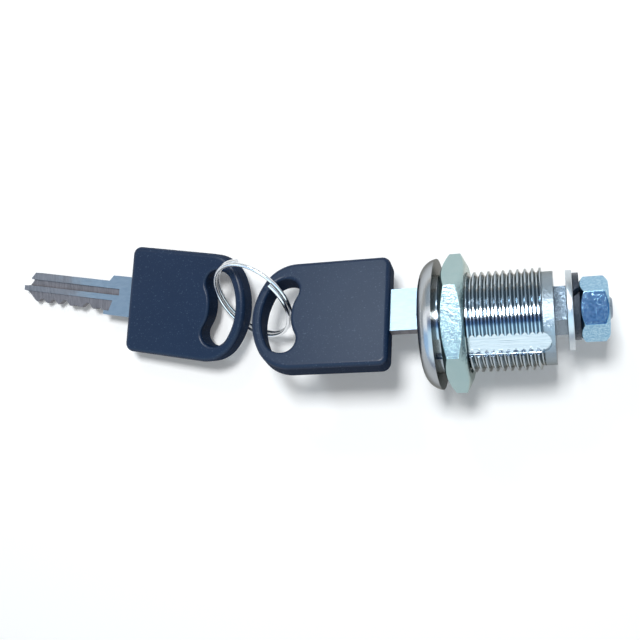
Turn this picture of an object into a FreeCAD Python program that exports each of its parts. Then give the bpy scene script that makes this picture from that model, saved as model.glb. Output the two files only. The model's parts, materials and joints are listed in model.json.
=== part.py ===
import FreeCAD, Part
import math
import os

import Sketcher

# Metal cabinet lock: a cam lock with a domed flange and a threaded barrel, two keys and a split ring.
# X runs along the barrel toward the threaded tail, Z points up, and the origin is on the barrel's axis
# at the flange's rear face. All sizes are millimetres and degrees.

V = FreeCAD.Vector
doc = FreeCAD.newDocument("cabinet_lock")
sheet = doc.addObject("Spreadsheet::Sheet", "sizes")

SIZES = [
    # Housing
    ("flange_radius", 12.0, "domed flange, rear edge"),
    ("flange_thickness", 3.5, "panel seat to flange front"),
    ("flange_face_radius", 5.0, "flat at the middle of the dome"),
    ("flange_shoulder_radius", 9.8, "where the dome turns down"),
    ("flange_shoulder_depth", 2.75, "shoulder in front of the panel seat"),
    ("flange_edge_round", 3.4, "round between shoulder and rear edge"),
    ("collar_length", 1.99, "smooth collar along the barrel"),
    ("thread_radius", 9.05, "thread crest"),
    ("thread_depth", 0.8, "crest to root"),
    ("thread_pitch", 1.27, "thread lead"),
    ("thread_land", 0.2, "flat left on each crest and root"),
    ("thread_start", 0.29, "first thread groove from the panel seat"),
    ("collar_radius", 8.31, "smooth collar behind the thread"),
    ("groove_angle", 31.4, "lengthwise groove, from up toward -Y"),
    ("groove_width", 4.1, "lengthwise groove across"),
    ("groove_floor", 7.7, "groove floor from the barrel axis"),
    ("groove_setback", 0.6, "groove's rounded end from the barrel end"),
    # Mounting nut
    ("nut_flats", 22.0, "mounting nut across flats"),
    ("nut_thickness", 4.2, "mounting nut along the barrel"),
    ("nut_gap", 1.15, "panel seat to the mounting nut"),
    ("nut_face_radius", 10.5, "mounting nut's turned face"),
    ("nut_chamfer", 27.0, "mounting nut's chamfer angle"),
    # Plug
    ("plug_offset", 1.18, "plug axis from the barrel axis, toward +Y"),
    ("plug_roll", 23.0, "keyway from upright"),
    ("plug_face", 3.3, "panel seat to the plug's face"),
    ("plug_head_radius", 6.4, "plug head"),
    ("plug_head_thickness", 1.5, "plug head along the axis"),
    ("plug_radius", 5.9, "plug body"),
    ("plug_end_stand", 0.04, "plug's rear face beyond the barrel end"),
    ("tail_side", 6.57, "square tail across"),
    ("tail_length", 2.05, "square tail along the axis"),
    ("stud_radius", 2.95, "threaded stud"),
    ("stud_length", 7.6, "stud behind the square tail"),
    ("stud_chamfer", 1.3, "stud's end chamfer"),
    # Fits
    ("running_gap", 0.05, "radial gap of what turns or slides"),
    ("side_gap", 0.1, "gap beside flat sliding pieces"),
    ("stack_gap", 0.02, "gap between stacked pieces"),
    # Wafers
    ("wafer_count", 6, "wafers and key cuts"),
    ("wafer_thickness", 1.2, "wafer along the axis"),
    ("wafer_half_width", 3.6, "wafer's half width"),
    ("wafer_inset", 0.05, "wafer's rounded ends inside the plug's outline"),
    ("wafer_lift", 0.56, "rise of a wafer when the key leaves"),
    ("wafer_window_low", -2.15, "window's lower edge"),
    ("wafer_window_high", 4.95, "window's upper edge"),
    ("wafer_window_half", 1.15, "window's half width"),
    ("wafer_neck", 2.3, "wafer's side below the spring tab"),
    ("wafer_tab_level", 1.5, "underside of the spring tab"),
    ("spring_ledge", -3.0, "plug ledge under the wafer springs"),
    ("locking_gap", 0.24, "room left beyond a raised wafer"),
    ("spring_wire", 0.2, "wafer spring wire across"),
    ("spring_mean_radius", 0.46, "wafer spring's coil radius"),
    ("spring_coil_pitch", 0.66, "wafer spring's lead"),
    # Retainer
    ("retainer_spacing", 2.92, "retainer behind the last wafer"),
    ("retainer_setback", 3.26, "barrel end behind the retainer"),
    ("retainer_thickness", 1.2, "retainer along the axis"),
    ("retainer_half_width", 2.0, "retainer's half width"),
    ("retainer_height", 2.0, "retainer from end to end"),
    ("retainer_reach", 6.4, "retainer's outer end from the plug axis"),
    ("retainer_pocket_floor", -2.05, "floor of the retainer's pocket"),
    # Washers and tail nut
    ("washer_radius", 7.1, "flat washer"),
    ("washer_thickness", 1.08, "flat washer"),
    ("washer_bore", 3.15, "flat washer's hole radius"),
    ("spring_washer_radius", 5.95, "split spring washer"),
    ("spring_washer_bore", 3.65, "split spring washer's hole radius"),
    ("spring_washer_thickness", 1.08, "split spring washer"),
    ("spring_washer_shift", 0.62, "how far the spring washer sits off centre"),
    ("spring_washer_split", 0.9, "gap of the split"),
    ("spring_washer_slant", 35.0, "slant of the split"),
    ("tail_nut_flats", 10.0, "tail nut across flats"),
    ("tail_nut_thickness", 4.8, "tail nut"),
    ("tail_nut_face_radius", 4.9, "tail nut's turned face"),
    ("tail_nut_chamfer", 40.0, "tail nut's chamfer angle"),
    # Key blade: x toward the tip from the head, y toward the uncut edge
    ("mouth_depth", 0.98, "plug face to the key's stop"),
    ("blade_thickness", 2.0, "key blade"),
    ("blade_top", 4.75, "uncut edge"),
    ("blade_bottom", -1.62, "cut edge between the cuts"),
    ("shank_top", 6.0, "shank's upper side"),
    ("shank_bottom", -2.5, "shank's lower side"),
    ("shank_top_length", 5.0, "shank's upper side up to its slope"),
    ("shank_slope", 1.0, "slope down to the blade"),
    ("shank_bottom_length", 6.9, "shank's lower side up to its stop"),
    ("tang_length", 11.0, "steel inside the head"),
    ("first_cut", 8.3, "first key cut from the head"),
    ("cut_pitch", 3.0, "distance from cut to cut"),
    ("cut_floor", 0.8, "flat bottom of a cut"),
    ("cut_1_depth", 0.29, "cut nearest the head, above the cut edge"),
    ("cut_2_depth", 1.04, "second cut"),
    ("cut_3_depth", 0.23, "third cut"),
    ("cut_4_depth", 1.03, "fourth cut"),
    ("cut_5_depth", 0.86, "fifth cut"),
    ("cut_6_depth", 0.77, "cut nearest the tip"),
    ("tip_land", 4.85, "last cut to the key tip"),
    ("tip_top_back", 2.75, "end of the uncut edge, back from the tip"),
    ("tip_ramp_back", 1.7, "foot of the tip's upper ramp, back from the tip"),
    ("tip_ramp_level", 3.42, "foot of the tip's upper ramp"),
    ("tip_notch_back", 2.07, "notch under the ramp, back from the tip"),
    ("tip_notch_level", 3.04, "notch under the ramp"),
    ("tip_nose_back", 1.15, "start of the nose, back from the tip"),
    ("tip_nose_level", 1.78, "start of the nose"),
    ("tip_nose_top", 1.7, "nose's upper corner"),
    ("tip_nose_bottom", 0.6, "nose's lower corner"),
    ("tip_chin_back", 0.96, "start of the lower ramp, back from the tip"),
    ("tip_chin_level", 0.5, "start of the lower ramp"),
    ("tip_foot_back", 3.1, "end of the lower ramp, back from the tip"),
    ("tip_foot_level", -1.42, "end of the lower ramp"),
    ("key_groove_low", 1.85, "side groove's lower edge"),
    ("key_groove_high", 3.24, "side groove's upper edge"),
    ("key_groove_depth", 0.6, "side groove"),
    ("key_groove_start", 3.3, "side groove's square end"),
    ("key_step_level", 0.65, "top of the milled step at the cut edge"),
    ("key_step_depth", 0.35, "milled step on each face"),
    ("key_step_start", 4.82, "top of the step's slanted end"),
    ("key_step_run", 0.81, "how far the slanted end leans"),
    # Key head
    ("head_length", 27.0, "key head along the key"),
    ("head_width", 22.1, "key head across"),
    ("head_centre", 1.55, "head's middle line above the plug axis"),
    ("head_thickness", 4.6, "key head"),
    ("head_corner", 1.75, "corners beside the shank"),
    ("head_side_round", 7.5, "round between a side and the end"),
    ("head_end_round", 14.5, "round of the end"),
    ("head_edge_round", 0.9, "rounded edges of the outline"),
    ("eye_rim", 2.0, "rim at the end of the eye"),
    ("eye_half_height", 7.7, "eye's half height"),
    ("eye_corner", 3.4, "eye's corners toward the end"),
    ("eye_lobe_round", 2.6, "lobes on the eye's inner side"),
    ("eye_lobe_depth", 9.2, "lobe bottoms from the head's end"),
    ("eye_bump_depth", 7.9, "bump between the lobes from the head's end"),
    ("eye_edge_round", 0.6, "rounded edges of the eye"),
    # Split ring
    ("ring_wire", 0.8, "ring wire across"),
    ("ring_radius", 8.84, "ring's mean radius"),
    ("ring_turn_step", 1.25, "lead of the ring's turns"),
    ("ring_sweep", 662.0, "angle wound by the wire"),
    ("ring_start", 100.0, "where the wire starts"),
    ("ring_past_head", 1.445, "ring centre beyond the end of the first key's head"),
    ("ring_y", 7.078, "ring centre"),
    ("ring_z", -3.707, "ring centre"),
    # Key 2 as it lies on the ring
    ("second_end_x", -2.1731, "end of the second key's head from the ring centre"),
    ("second_end_y", -3.8181, "end of the second key's head from the ring centre"),
    ("second_end_z", -2.4345, "end of the second key's head from the ring centre"),
]

# Sizes that follow from the others
SIZES += [
    ("key_reach", "=shank_bottom_length + plug_face - mouth_depth", "panel seat to the head, key in"),
    ("last_wafer_place", "=first_cut - key_reach + (wafer_count - 1) * cut_pitch", "last wafer"),
    ("retainer_place", "=last_wafer_place + retainer_spacing", "retainer from the panel seat"),
    ("barrel_length", "=retainer_place + retainer_setback", "panel seat to barrel end"),
    ("thread_length", "=barrel_length - collar_length", "threaded stretch of the barrel"),
    ("groove_reach", "=barrel_length - groove_setback", "groove's rounded end from the panel seat"),
    ("wafer_radius", "=plug_radius - wafer_inset", "wafer's rounded ends"),
    ("locking_radius", "=wafer_radius + wafer_lift + locking_gap", "locking slots of the housing"),
    ("tip_length", "=first_cut + (wafer_count - 1) * cut_pitch + tip_land", "key tip from the head"),
    ("ring_x", "=0 - key_reach - head_length - ring_past_head", "ring centre"),
]

# Key tip below the uncut edge: distance back from the tip, and height
TIP = [
    ("sizes.tip_top_back", "sizes.blade_top"),
    ("sizes.tip_ramp_back", "sizes.tip_ramp_level"),
    ("sizes.tip_notch_back", "sizes.tip_notch_level"),
    ("sizes.tip_nose_back", "sizes.tip_nose_level"),
    ("0", "sizes.tip_nose_top"),
    ("0", "sizes.tip_nose_bottom"),
    ("sizes.tip_chin_back", "sizes.tip_chin_level"),
    ("sizes.tip_foot_back", "sizes.tip_foot_level"),
]

# Directions of the second key and of the ring: their own x and y axes in the lock's frame
SECOND_KEY_X = V(-0.9817, 0.1683, -0.0895)
SECOND_KEY_Y = V(0.1651, 0.9854, 0.0424)
RING_X = V(0.93023, -0.25128, 0.26745)
RING_Y = V(0.0, 0.7288, 0.68473)

for row, (alias, size, note) in enumerate(SIZES, start=1):
    sheet.set("A%d" % row, alias)
    sheet.set("B%d" % row, str(size))
    sheet.set("C%d" % row, note)
    sheet.setAlias("B%d" % row, alias)
doc.recompute()

nodes = []


def number(expression):
    """The value of an expression in the sheet's sizes."""
    return float(sheet.evalExpression(expression))


def node(piece, label):
    """Names a finished piece and keeps it for export."""
    piece.Label = label
    nodes.append(piece)
    return piece


def sketch_in(body, name, role, offset=None):
    """A sketch on one of the body's own planes, moved along the plane's normal by an expression."""
    sketch = body.newObject("Sketcher::SketchObject", name)
    plane = [feature for feature in body.Origin.OriginFeatures if feature.Role == role][0]
    sketch.AttachmentSupport = [(plane, "")]
    sketch.MapMode = "FlatFace"
    if offset:
        sketch.setExpression("AttachmentOffset.Base.z", offset)
    return sketch


def polygon(sketch, corners):
    """A closed outline whose corners are pairs of expressions, each held by two constraints."""
    spots = [V(number(across), number(up), 0) for across, up in corners]
    first = sketch.GeometryCount
    count = len(spots)
    for index in range(count):
        sketch.addGeometry(Part.LineSegment(spots[index], spots[(index + 1) % count]))
    for index in range(count):
        joined = first + (index + 1) % count
        sketch.addConstraint(Sketcher.Constraint("Coincident", first + index, 2, joined, 1))
    for index, (across, up) in enumerate(corners):
        held = Sketcher.Constraint("DistanceX", first + index, 1, spots[index].x)
        sketch.setExpression("Constraints[%d]" % sketch.addConstraint(held), across)
        held = Sketcher.Constraint("DistanceY", first + index, 1, spots[index].y)
        sketch.setExpression("Constraints[%d]" % sketch.addConstraint(held), up)


def circle(sketch, radius):
    """A circle about the sketch's origin."""
    index = sketch.addGeometry(Part.Circle(V(), V(0, 0, 1), number(radius)))
    sketch.addConstraint(Sketcher.Constraint("Coincident", index, 3, -1, 1))
    held = Sketcher.Constraint("Radius", index, number(radius))
    sketch.setExpression("Constraints[%d]" % sketch.addConstraint(held), radius)


def grown(body, name, sketch, length, both_ways=False):
    """A pad of the sketch."""
    pad = body.newObject("PartDesign::Pad", name)
    pad.Profile = sketch
    pad.Midplane = both_ways
    pad.setExpression("Length", length)
    return pad


def pocketed(body, name, sketch, length, both_ways=False, backward=False):
    """A pocket of the sketch, checked to take material away."""
    doc.recompute()
    before = body.Shape.Volume
    pocket = body.newObject("PartDesign::Pocket", name)
    pocket.Profile = sketch
    pocket.Midplane = both_ways
    pocket.Reversed = backward
    pocket.setExpression("Length", length)
    doc.recompute()
    if body.Shape.Volume >= before:
        raise ValueError("pocket %s cuts nothing" % name)
    return pocket


def turned(body, name, sketch, kind="PartDesign::Revolution"):
    """A revolution or a groove of the sketch about its horizontal axis."""
    feature = body.newObject(kind, name)
    feature.Profile = sketch
    feature.ReferenceAxis = (sketch, ["H_Axis"])
    feature.Angle = 360
    return feature


def bar(name, radius, start, length):
    """A round bar along X, its sizes given as expressions."""
    piece = doc.addObject("Part::Cylinder", name)
    piece.Placement = FreeCAD.Placement(V(), FreeCAD.Rotation(V(0, 1, 0), 90))
    piece.setExpression("Radius", radius)
    piece.setExpression("Height", length)
    piece.setExpression("Placement.Base.x", start)
    return piece


def block(name, lengths, corner):
    """A box with its three lengths and its lowest corner given as expressions."""
    piece = doc.addObject("Part::Box", name)
    for side, length in zip(("Length", "Width", "Height"), lengths):
        piece.setExpression(side, length)
    for axis, place in zip("xyz", corner):
        piece.setExpression("Placement.Base." + axis, place)
    return piece


def joined(name, pieces):
    """Several pieces fused."""
    fused = doc.addObject("Part::MultiFuse", name)
    fused.Shapes = pieces
    return fused


def boolean(kind, name, base, tool):
    """A two-piece boolean: Part::Cut or Part::Common."""
    result = doc.addObject(kind, name)
    result.Base = base
    result.Tool = tool
    return result


def plug_place():
    """The plug's own frame in the lock: y runs up the keyway."""
    roll = FreeCAD.Rotation(V(1, 0, 0), -number("sizes.plug_roll"))
    return FreeCAD.Placement(V(0, number("sizes.plug_offset"), 0), roll)


def on_plug(piece):
    """Moves a piece from the plug's own frame to the lock."""
    piece.Placement = plug_place()
    piece.setExpression("Placement.Base.y", "sizes.plug_offset")
    return piece


def arc(centre, radius, start, end):
    """Part of a circle in the sketch plane, from one angle to another, in radians."""
    return Part.ArcOfCircle(Part.Circle(V(centre[0], centre[1], 0), V(0, 0, 1), radius), start, end)


# Housing: turned blank with its dome, then the thread
def housing():
    body = doc.addObject("PartDesign::Body", "housing_blank")
    profile = sketch_in(body, "housing_profile", "XY_Plane")
    front = -number("sizes.flange_thickness")
    shoulder = V(-number("sizes.flange_shoulder_depth"), number("sizes.flange_shoulder_radius"), 0)
    edge = V(0, number("sizes.flange_radius"), 0)
    barrel = number("sizes.barrel_length")
    thread_end = number("sizes.thread_length")
    crest = number("sizes.thread_radius")
    collar = number("sizes.collar_radius")
    corners = [
        edge,
        V(0, crest, 0),
        V(thread_end, crest, 0),
        V(thread_end, collar, 0),
        V(barrel, collar, 0),
        V(barrel, 0, 0),
        V(front, 0, 0),
        V(front, number("sizes.flange_face_radius"), 0),
        shoulder,
    ]
    for start, end in zip(corners, corners[1:]):
        profile.addGeometry(Part.LineSegment(start, end))
    chord = edge - shoulder
    middle = (edge + shoulder) * 0.5
    bow = math.sqrt(number("sizes.flange_edge_round") ** 2 - (chord.Length / 2) ** 2)
    across = V(chord.y, -chord.x, 0).normalize()
    centre = middle + across * bow
    start = math.atan2(edge.y - centre.y, edge.x - centre.x)
    end = math.atan2(shoulder.y - centre.y, shoulder.x - centre.x)
    profile.addGeometry(arc((centre.x, centre.y), number("sizes.flange_edge_round"), start, end))
    turned(body, "housing_turned", profile)

    teeth = sketch_in(body, "thread_profile", "XY_Plane")
    start = "sizes.thread_start"
    half = "sizes.thread_pitch / 2"
    flat = "sizes.thread_land / 2"
    root = "sizes.thread_radius - sizes.thread_depth"
    over = "sizes.thread_radius + sizes.running_gap"
    polygon(teeth, [
        ("%s + %s" % (start, flat), over),
        ("%s + %s - %s" % (start, half, flat), root),
        ("%s + %s + %s" % (start, half, flat), root),
        ("%s + 2 * %s - %s" % (start, half, flat), over),
    ])
    thread = body.newObject("PartDesign::SubtractiveHelix", "barrel_thread")
    thread.Profile = teeth
    thread.ReferenceAxis = (teeth, ["H_Axis"])
    thread.Mode = 0
    thread.setExpression("Pitch", "sizes.thread_pitch")
    thread.setExpression("Height", "sizes.thread_length - sizes.thread_start - sizes.thread_pitch / 2")

    # Room for the plug, its wafers in two quarter-turn positions, and the retainer's ring groove
    bore = bar("plug_bore", "sizes.plug_radius + sizes.running_gap", "0 - sizes.flange_thickness",
               "sizes.flange_thickness + sizes.barrel_length + 1")
    seat_end = "sizes.plug_head_thickness - sizes.plug_face + sizes.running_gap"
    recess = bar("plug_recess", "sizes.plug_head_radius + sizes.running_gap",
                 "0 - sizes.flange_thickness - 1", "sizes.flange_thickness + 1 + " + seat_end)
    slot_length = ("sizes.first_cut - sizes.key_reach + (sizes.wafer_count - 1) * sizes.cut_pitch"
                   " + sizes.wafer_thickness - (%s)" % seat_end)
    half_slot = "sizes.wafer_half_width + 2 * sizes.side_gap"
    rooms = []
    for turn, corner in enumerate((
        (seat_end, "0", "0 - (%s)" % half_slot),
        (seat_end, "0 - (%s)" % half_slot, "0"),
    )):
        lengths = [slot_length, "2 * (%s)" % half_slot, "2 * (%s)" % half_slot]
        lengths[1 + turn] = "sizes.locking_radius"
        rooms.append(block("locking_block_%d" % (turn + 1), lengths, corner))
    limit = bar("locking_limit", "sizes.locking_radius", seat_end, slot_length)
    slots = boolean("Part::Common", "locking_slots", joined("locking_blocks", rooms), limit)
    ring_room = bar("retainer_groove", "sizes.locking_radius",
                    "sizes.retainer_place - sizes.retainer_thickness / 2 - sizes.side_gap",
                    "sizes.retainer_thickness + 2 * sizes.side_gap")
    room = on_plug(joined("plug_room", [bore, recess, slots, ring_room]))

    # Lengthwise groove with a rounded end, milled from the side
    half_width = "sizes.groove_width / 2"
    channel = block("groove_channel",
                    ("sizes.groove_reach - " + half_width, "sizes.groove_width", "sizes.groove_floor"),
                    ("0", "0 - " + half_width, "sizes.groove_floor"))
    end_cut = doc.addObject("Part::Cylinder", "groove_end")
    end_cut.setExpression("Radius", half_width)
    end_cut.setExpression("Height", "sizes.groove_floor")
    end_cut.setExpression("Placement.Base.x", "sizes.groove_reach - " + half_width)
    end_cut.setExpression("Placement.Base.z", "sizes.groove_floor")
    groove = joined("groove", [channel, end_cut])
    groove.Placement = FreeCAD.Placement(V(), FreeCAD.Rotation(V(1, 0, 0), number("sizes.groove_angle")))
    grooved = boolean("Part::Cut", "housing_grooved", body, groove)
    return node(boolean("Part::Cut", "housing", grooved, room), "housing")


# A hexagon nut about the X axis with chamfered corners
def nut(label, flats, thickness, start, bore, face_radius, chamfer):
    body = doc.addObject("PartDesign::Body", label)
    outline = sketch_in(body, label + "_hexagon", "YZ_Plane", start)
    corner = "%s / 2 / cos(30 deg)" % flats
    polygon(outline, [("%s * cos(%d deg)" % (corner, turn), "%s * sin(%d deg)" % (corner, turn))
                      for turn in range(0, 360, 60)])
    circle(outline, bore)
    grown(body, label + "_block", outline, thickness)
    bevels = sketch_in(body, label + "_bevels", "XY_Plane")
    high = "%s" % flats
    run = "(%s - %s) * tan(%s * 1 deg)" % (high, face_radius, chamfer)
    end = "%s + %s" % (start, thickness)
    polygon(bevels, [(start, face_radius), (start, high), ("%s + %s" % (start, run), high)])
    polygon(bevels, [(end, face_radius), (end, high), ("%s - %s" % (end, run), high)])
    turned(body, label + "_chamfers", bevels, "PartDesign::Groove")
    return node(body, label)


# Plug: head, body, square tail and threaded stud, with keyway, wafer slots and retainer pocket
def plug():
    body = doc.addObject("PartDesign::Body", "plug")
    profile = sketch_in(body, "plug_profile", "XY_Plane")
    face = "0 - sizes.plug_face"
    step = "sizes.plug_head_thickness - sizes.plug_face"
    rear = "sizes.barrel_length + sizes.plug_end_stand"
    stud_end = rear + " + sizes.tail_length + sizes.stud_length"
    polygon(profile, [
        (face, "0"),
        (face, "sizes.plug_head_radius"),
        (step, "sizes.plug_head_radius"),
        (step, "sizes.plug_radius"),
        (rear, "sizes.plug_radius"),
        (rear, "sizes.stud_radius"),
        (stud_end + " - sizes.stud_chamfer", "sizes.stud_radius"),
        (stud_end, "sizes.stud_radius - sizes.stud_chamfer"),
        (stud_end, "0"),
    ])
    turned(body, "plug_turned", profile)
    square = sketch_in(body, "tail_square", "YZ_Plane", rear)
    half = "sizes.tail_side / 2"
    less = "0 - " + half
    polygon(square, [(less, less), (half, less), (half, half), (less, half)])
    grown(body, "tail", square, "sizes.tail_length")

    # Mouth for the shank's stop, then the keyway with its ward and the narrow foot for the milled step
    mouth = sketch_in(body, "keyway_mouth", "YZ_Plane", face)
    wide = "(sizes.blade_thickness / 2 + sizes.running_gap)"
    low = "sizes.shank_bottom - sizes.side_gap"
    high = "sizes.blade_top + 4 * sizes.side_gap"
    polygon(mouth, [(low, "0 - " + wide), (high, "0 - " + wide), (high, wide), (low, wide)])
    pocketed(body, "mouth", mouth, "sizes.mouth_depth + sizes.side_gap", backward=True)
    keyway = sketch_in(body, "keyway_profile", "YZ_Plane", face)
    foot = "(sizes.blade_thickness / 2 - sizes.key_step_depth + sizes.running_gap)"
    ward = "(sizes.blade_thickness / 2 - sizes.key_groove_depth + sizes.side_gap)"
    bottom = "sizes.blade_bottom - sizes.side_gap"
    top = "sizes.blade_top + sizes.side_gap"
    level = "sizes.key_step_level - sizes.side_gap"
    ward_low = "sizes.key_groove_low + sizes.side_gap"
    ward_high = "sizes.key_groove_high - sizes.side_gap"
    polygon(keyway, [
        (bottom, foot),
        (bottom, "0 - " + foot),
        (level, "0 - " + foot),
        (level, "0 - " + wide),
        (ward_low, "0 - " + wide),
        (ward_low, "0 - " + ward),
        (ward_high, "0 - " + ward),
        (ward_high, "0 - " + wide),
        (top, "0 - " + wide),
        (top, wide),
        (level, wide),
        (level, foot),
    ])
    depth = "sizes.tip_length - sizes.key_reach + sizes.plug_face + 4 * sizes.side_gap"
    pocketed(body, "keyway", keyway, depth, backward=True)

    # Retainer pocket, open to the plug's lower side
    place = sketch_in(body, "retainer_pocket", "YZ_Plane", "sizes.retainer_place")
    side = "(sizes.retainer_half_width + sizes.running_gap)"
    polygon(place, [
        ("0 - sizes.plug_radius - 1", "0 - " + side),
        ("sizes.retainer_pocket_floor", "0 - " + side),
        ("sizes.retainer_pocket_floor", side),
        ("0 - sizes.plug_radius - 1", side),
    ])
    pocketed(body, "retainer_room", place, "sizes.retainer_thickness + sizes.side_gap", both_ways=True)

    # One slot for a wafer and its spring, repeated along the plug
    slot = sketch_in(body, "wafer_slot", "YZ_Plane", "sizes.first_cut - sizes.key_reach")
    reach = "sizes.plug_radius + 1"
    half_slot = "(sizes.wafer_half_width + sizes.side_gap)"
    neck = "(sizes.wafer_neck + sizes.side_gap)"
    polygon(slot, [
        ("0 - %s - 1" % reach, "0 - " + half_slot),
        (reach, "0 - " + half_slot),
        (reach, half_slot),
        ("sizes.spring_ledge", half_slot),
        ("sizes.spring_ledge", neck),
        ("0 - %s - 1" % reach, neck),
    ])
    first = pocketed(body, "wafer_room", slot, "sizes.wafer_thickness + sizes.side_gap", both_ways=True)
    row = body.newObject("PartDesign::LinearPattern", "wafer_rooms")
    row.Originals = [first]
    row.Direction = (slot, ["N_Axis"])
    row.setExpression("Length", "(sizes.wafer_count - 1) * sizes.cut_pitch")
    row.setExpression("Occurrences", "sizes.wafer_count")
    body.Tip = row
    return node(on_plug(body), "plug")


# Wafer: a flat plate with rounded ends, a window for the key and a tab for its spring
def wafer(index):
    label = "wafer_%d" % (index + 1)
    body = doc.addObject("PartDesign::Body", label)
    place = "sizes.first_cut - sizes.key_reach + %d * sizes.cut_pitch" % index
    disc = sketch_in(body, label + "_disc", "YZ_Plane", place)
    circle(disc, "sizes.wafer_radius")
    grown(body, label + "_plate", disc, "sizes.wafer_thickness", both_ways=True)
    cuts = sketch_in(body, label + "_cuts", "YZ_Plane", place)
    out = "(sizes.wafer_radius + 1)"
    half = "sizes.wafer_half_width"
    polygon(cuts, [("0 - " + out, "0 - " + half), ("0 - " + out, "0 - " + out), (out, "0 - " + out),
                   (out, "0 - " + half)])
    polygon(cuts, [
        ("0 - " + out, "sizes.wafer_neck"),
        ("sizes.wafer_tab_level", "sizes.wafer_neck"),
        ("sizes.wafer_tab_level", half),
        (out, half),
        (out, out),
        ("0 - " + out, out),
    ])
    low = "sizes.wafer_window_low"
    high = "sizes.wafer_window_high"
    window = "sizes.wafer_window_half"
    polygon(cuts, [(low, "0 - " + window), (high, "0 - " + window), (high, window), (low, window)])
    pocketed(body, label + "_shape", cuts, "2 * sizes.wafer_thickness", both_ways=True)
    return node(on_plug(body), label)


def biarc(start, start_way, end, end_way):
    """Two arcs from one point and direction to another, as edges."""
    span = end - start
    ways = start_way + end_way
    bend = 2 * (start_way.dot(end_way) - 1)
    pull = 2 * span.dot(ways)
    reach = (pull - math.sqrt(pull * pull - 4 * bend * span.dot(span))) / (2 * bend)
    near = start + start_way * reach
    far = end - end_way * reach
    middle = (near + far) * 0.5
    edges = []
    for first, tip, last in ((start, near, middle), (middle, far, end)):
        chord_middle = (first + last) * 0.5
        half_chord = (last - first).Length / 2
        height = (tip - chord_middle).Length
        radius = reach * half_chord / height
        rise = radius - math.sqrt(radius * radius - half_chord * half_chord)
        top = chord_middle + (tip - chord_middle) * (rise / height)
        edges.append(Part.Arc(first, top, last).toShape())
    return edges


def coil(label, wire, radius, step, start, sweep, parts_per_turn):
    """A wound wire about the Z axis from z = 0, as one tube with straight ends."""
    count = max(2, round(abs(sweep) / 360 * parts_per_turn))
    slope = step / (2 * math.pi)

    def point(angle):
        turn = math.radians(angle)
        return V(radius * math.cos(turn), radius * math.sin(turn), slope * (turn - math.radians(start)))

    def way(angle):
        turn = math.radians(angle)
        return V(-radius * math.sin(turn), radius * math.cos(turn), slope).normalize()

    angles = [start + sweep * index / count for index in range(count + 1)]
    first = point(angles[0]) - way(angles[0]) * wire
    edges = [Part.LineSegment(first, point(angles[0])).toShape()]
    for low, high in zip(angles, angles[1:]):
        edges += biarc(point(low), way(low), point(high), way(high))
    edges.append(Part.LineSegment(point(angles[-1]), point(angles[-1]) + way(angles[-1]) * wire).toShape())
    path = Part.Wire(edges)
    section = Part.Wire(Part.Circle(first, way(angles[0]), wire / 2).toShape())
    tube = path.makePipeShell([section], True, False)

    # Least gap between two stretches of the wire more than a third of a turn apart
    samples = [point(start + sweep * index / 400) for index in range(401)]
    apart = math.ceil(120 / abs(sweep) * 400)
    least = min((a - b).Length for place, a in enumerate(samples) for b in samples[place + apart:]) - wire
    print("%s: least gap to itself %.2f mm" % (label, least))
    return tube


# Wafer spring between the plug's ledge and the wafer's tab, and the retainer's short spring
def spring(label, place, low, high, beside):
    wire = number("sizes.spring_wire")
    step = number("sizes.spring_coil_pitch")
    turns = (high - low - 2 * number("sizes.stack_gap") - 2 * wire) / step
    piece = doc.addObject("Part::Feature", label)
    piece.Shape = coil(label, wire, number("sizes.spring_mean_radius"), step, 0, 360 * turns, 2)
    seat = V(place, low + number("sizes.stack_gap") + wire, beside)
    upright = FreeCAD.Placement(seat, FreeCAD.Rotation(V(1, 0, 0), -90))
    piece.Placement = plug_place().multiply(upright)
    return node(piece, label)


# Retainer: a small plate that stands out of the plug into the housing's ring groove
def retainer():
    body = doc.addObject("PartDesign::Body", "retainer")
    disc = sketch_in(body, "retainer_disc", "YZ_Plane", "sizes.retainer_place")
    circle(disc, "sizes.retainer_reach")
    grown(body, "retainer_plate", disc, "sizes.retainer_thickness", both_ways=True)
    cuts = sketch_in(body, "retainer_cuts", "YZ_Plane", "sizes.retainer_place")
    out = "(sizes.retainer_reach + 1)"
    inner = "(sizes.retainer_height - sizes.retainer_reach)"
    half = "sizes.retainer_half_width"
    polygon(cuts, [
        ("0 - " + out, "0 - " + half),
        (inner, "0 - " + half),
        (inner, half),
        ("0 - " + out, half),
        ("0 - " + out, out),
        (out, out),
        (out, "0 - " + out),
        ("0 - " + out, "0 - " + out),
    ])
    pocketed(body, "retainer_shape", cuts, "2 * sizes.retainer_thickness", both_ways=True)
    return node(on_plug(body), "retainer")


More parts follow.
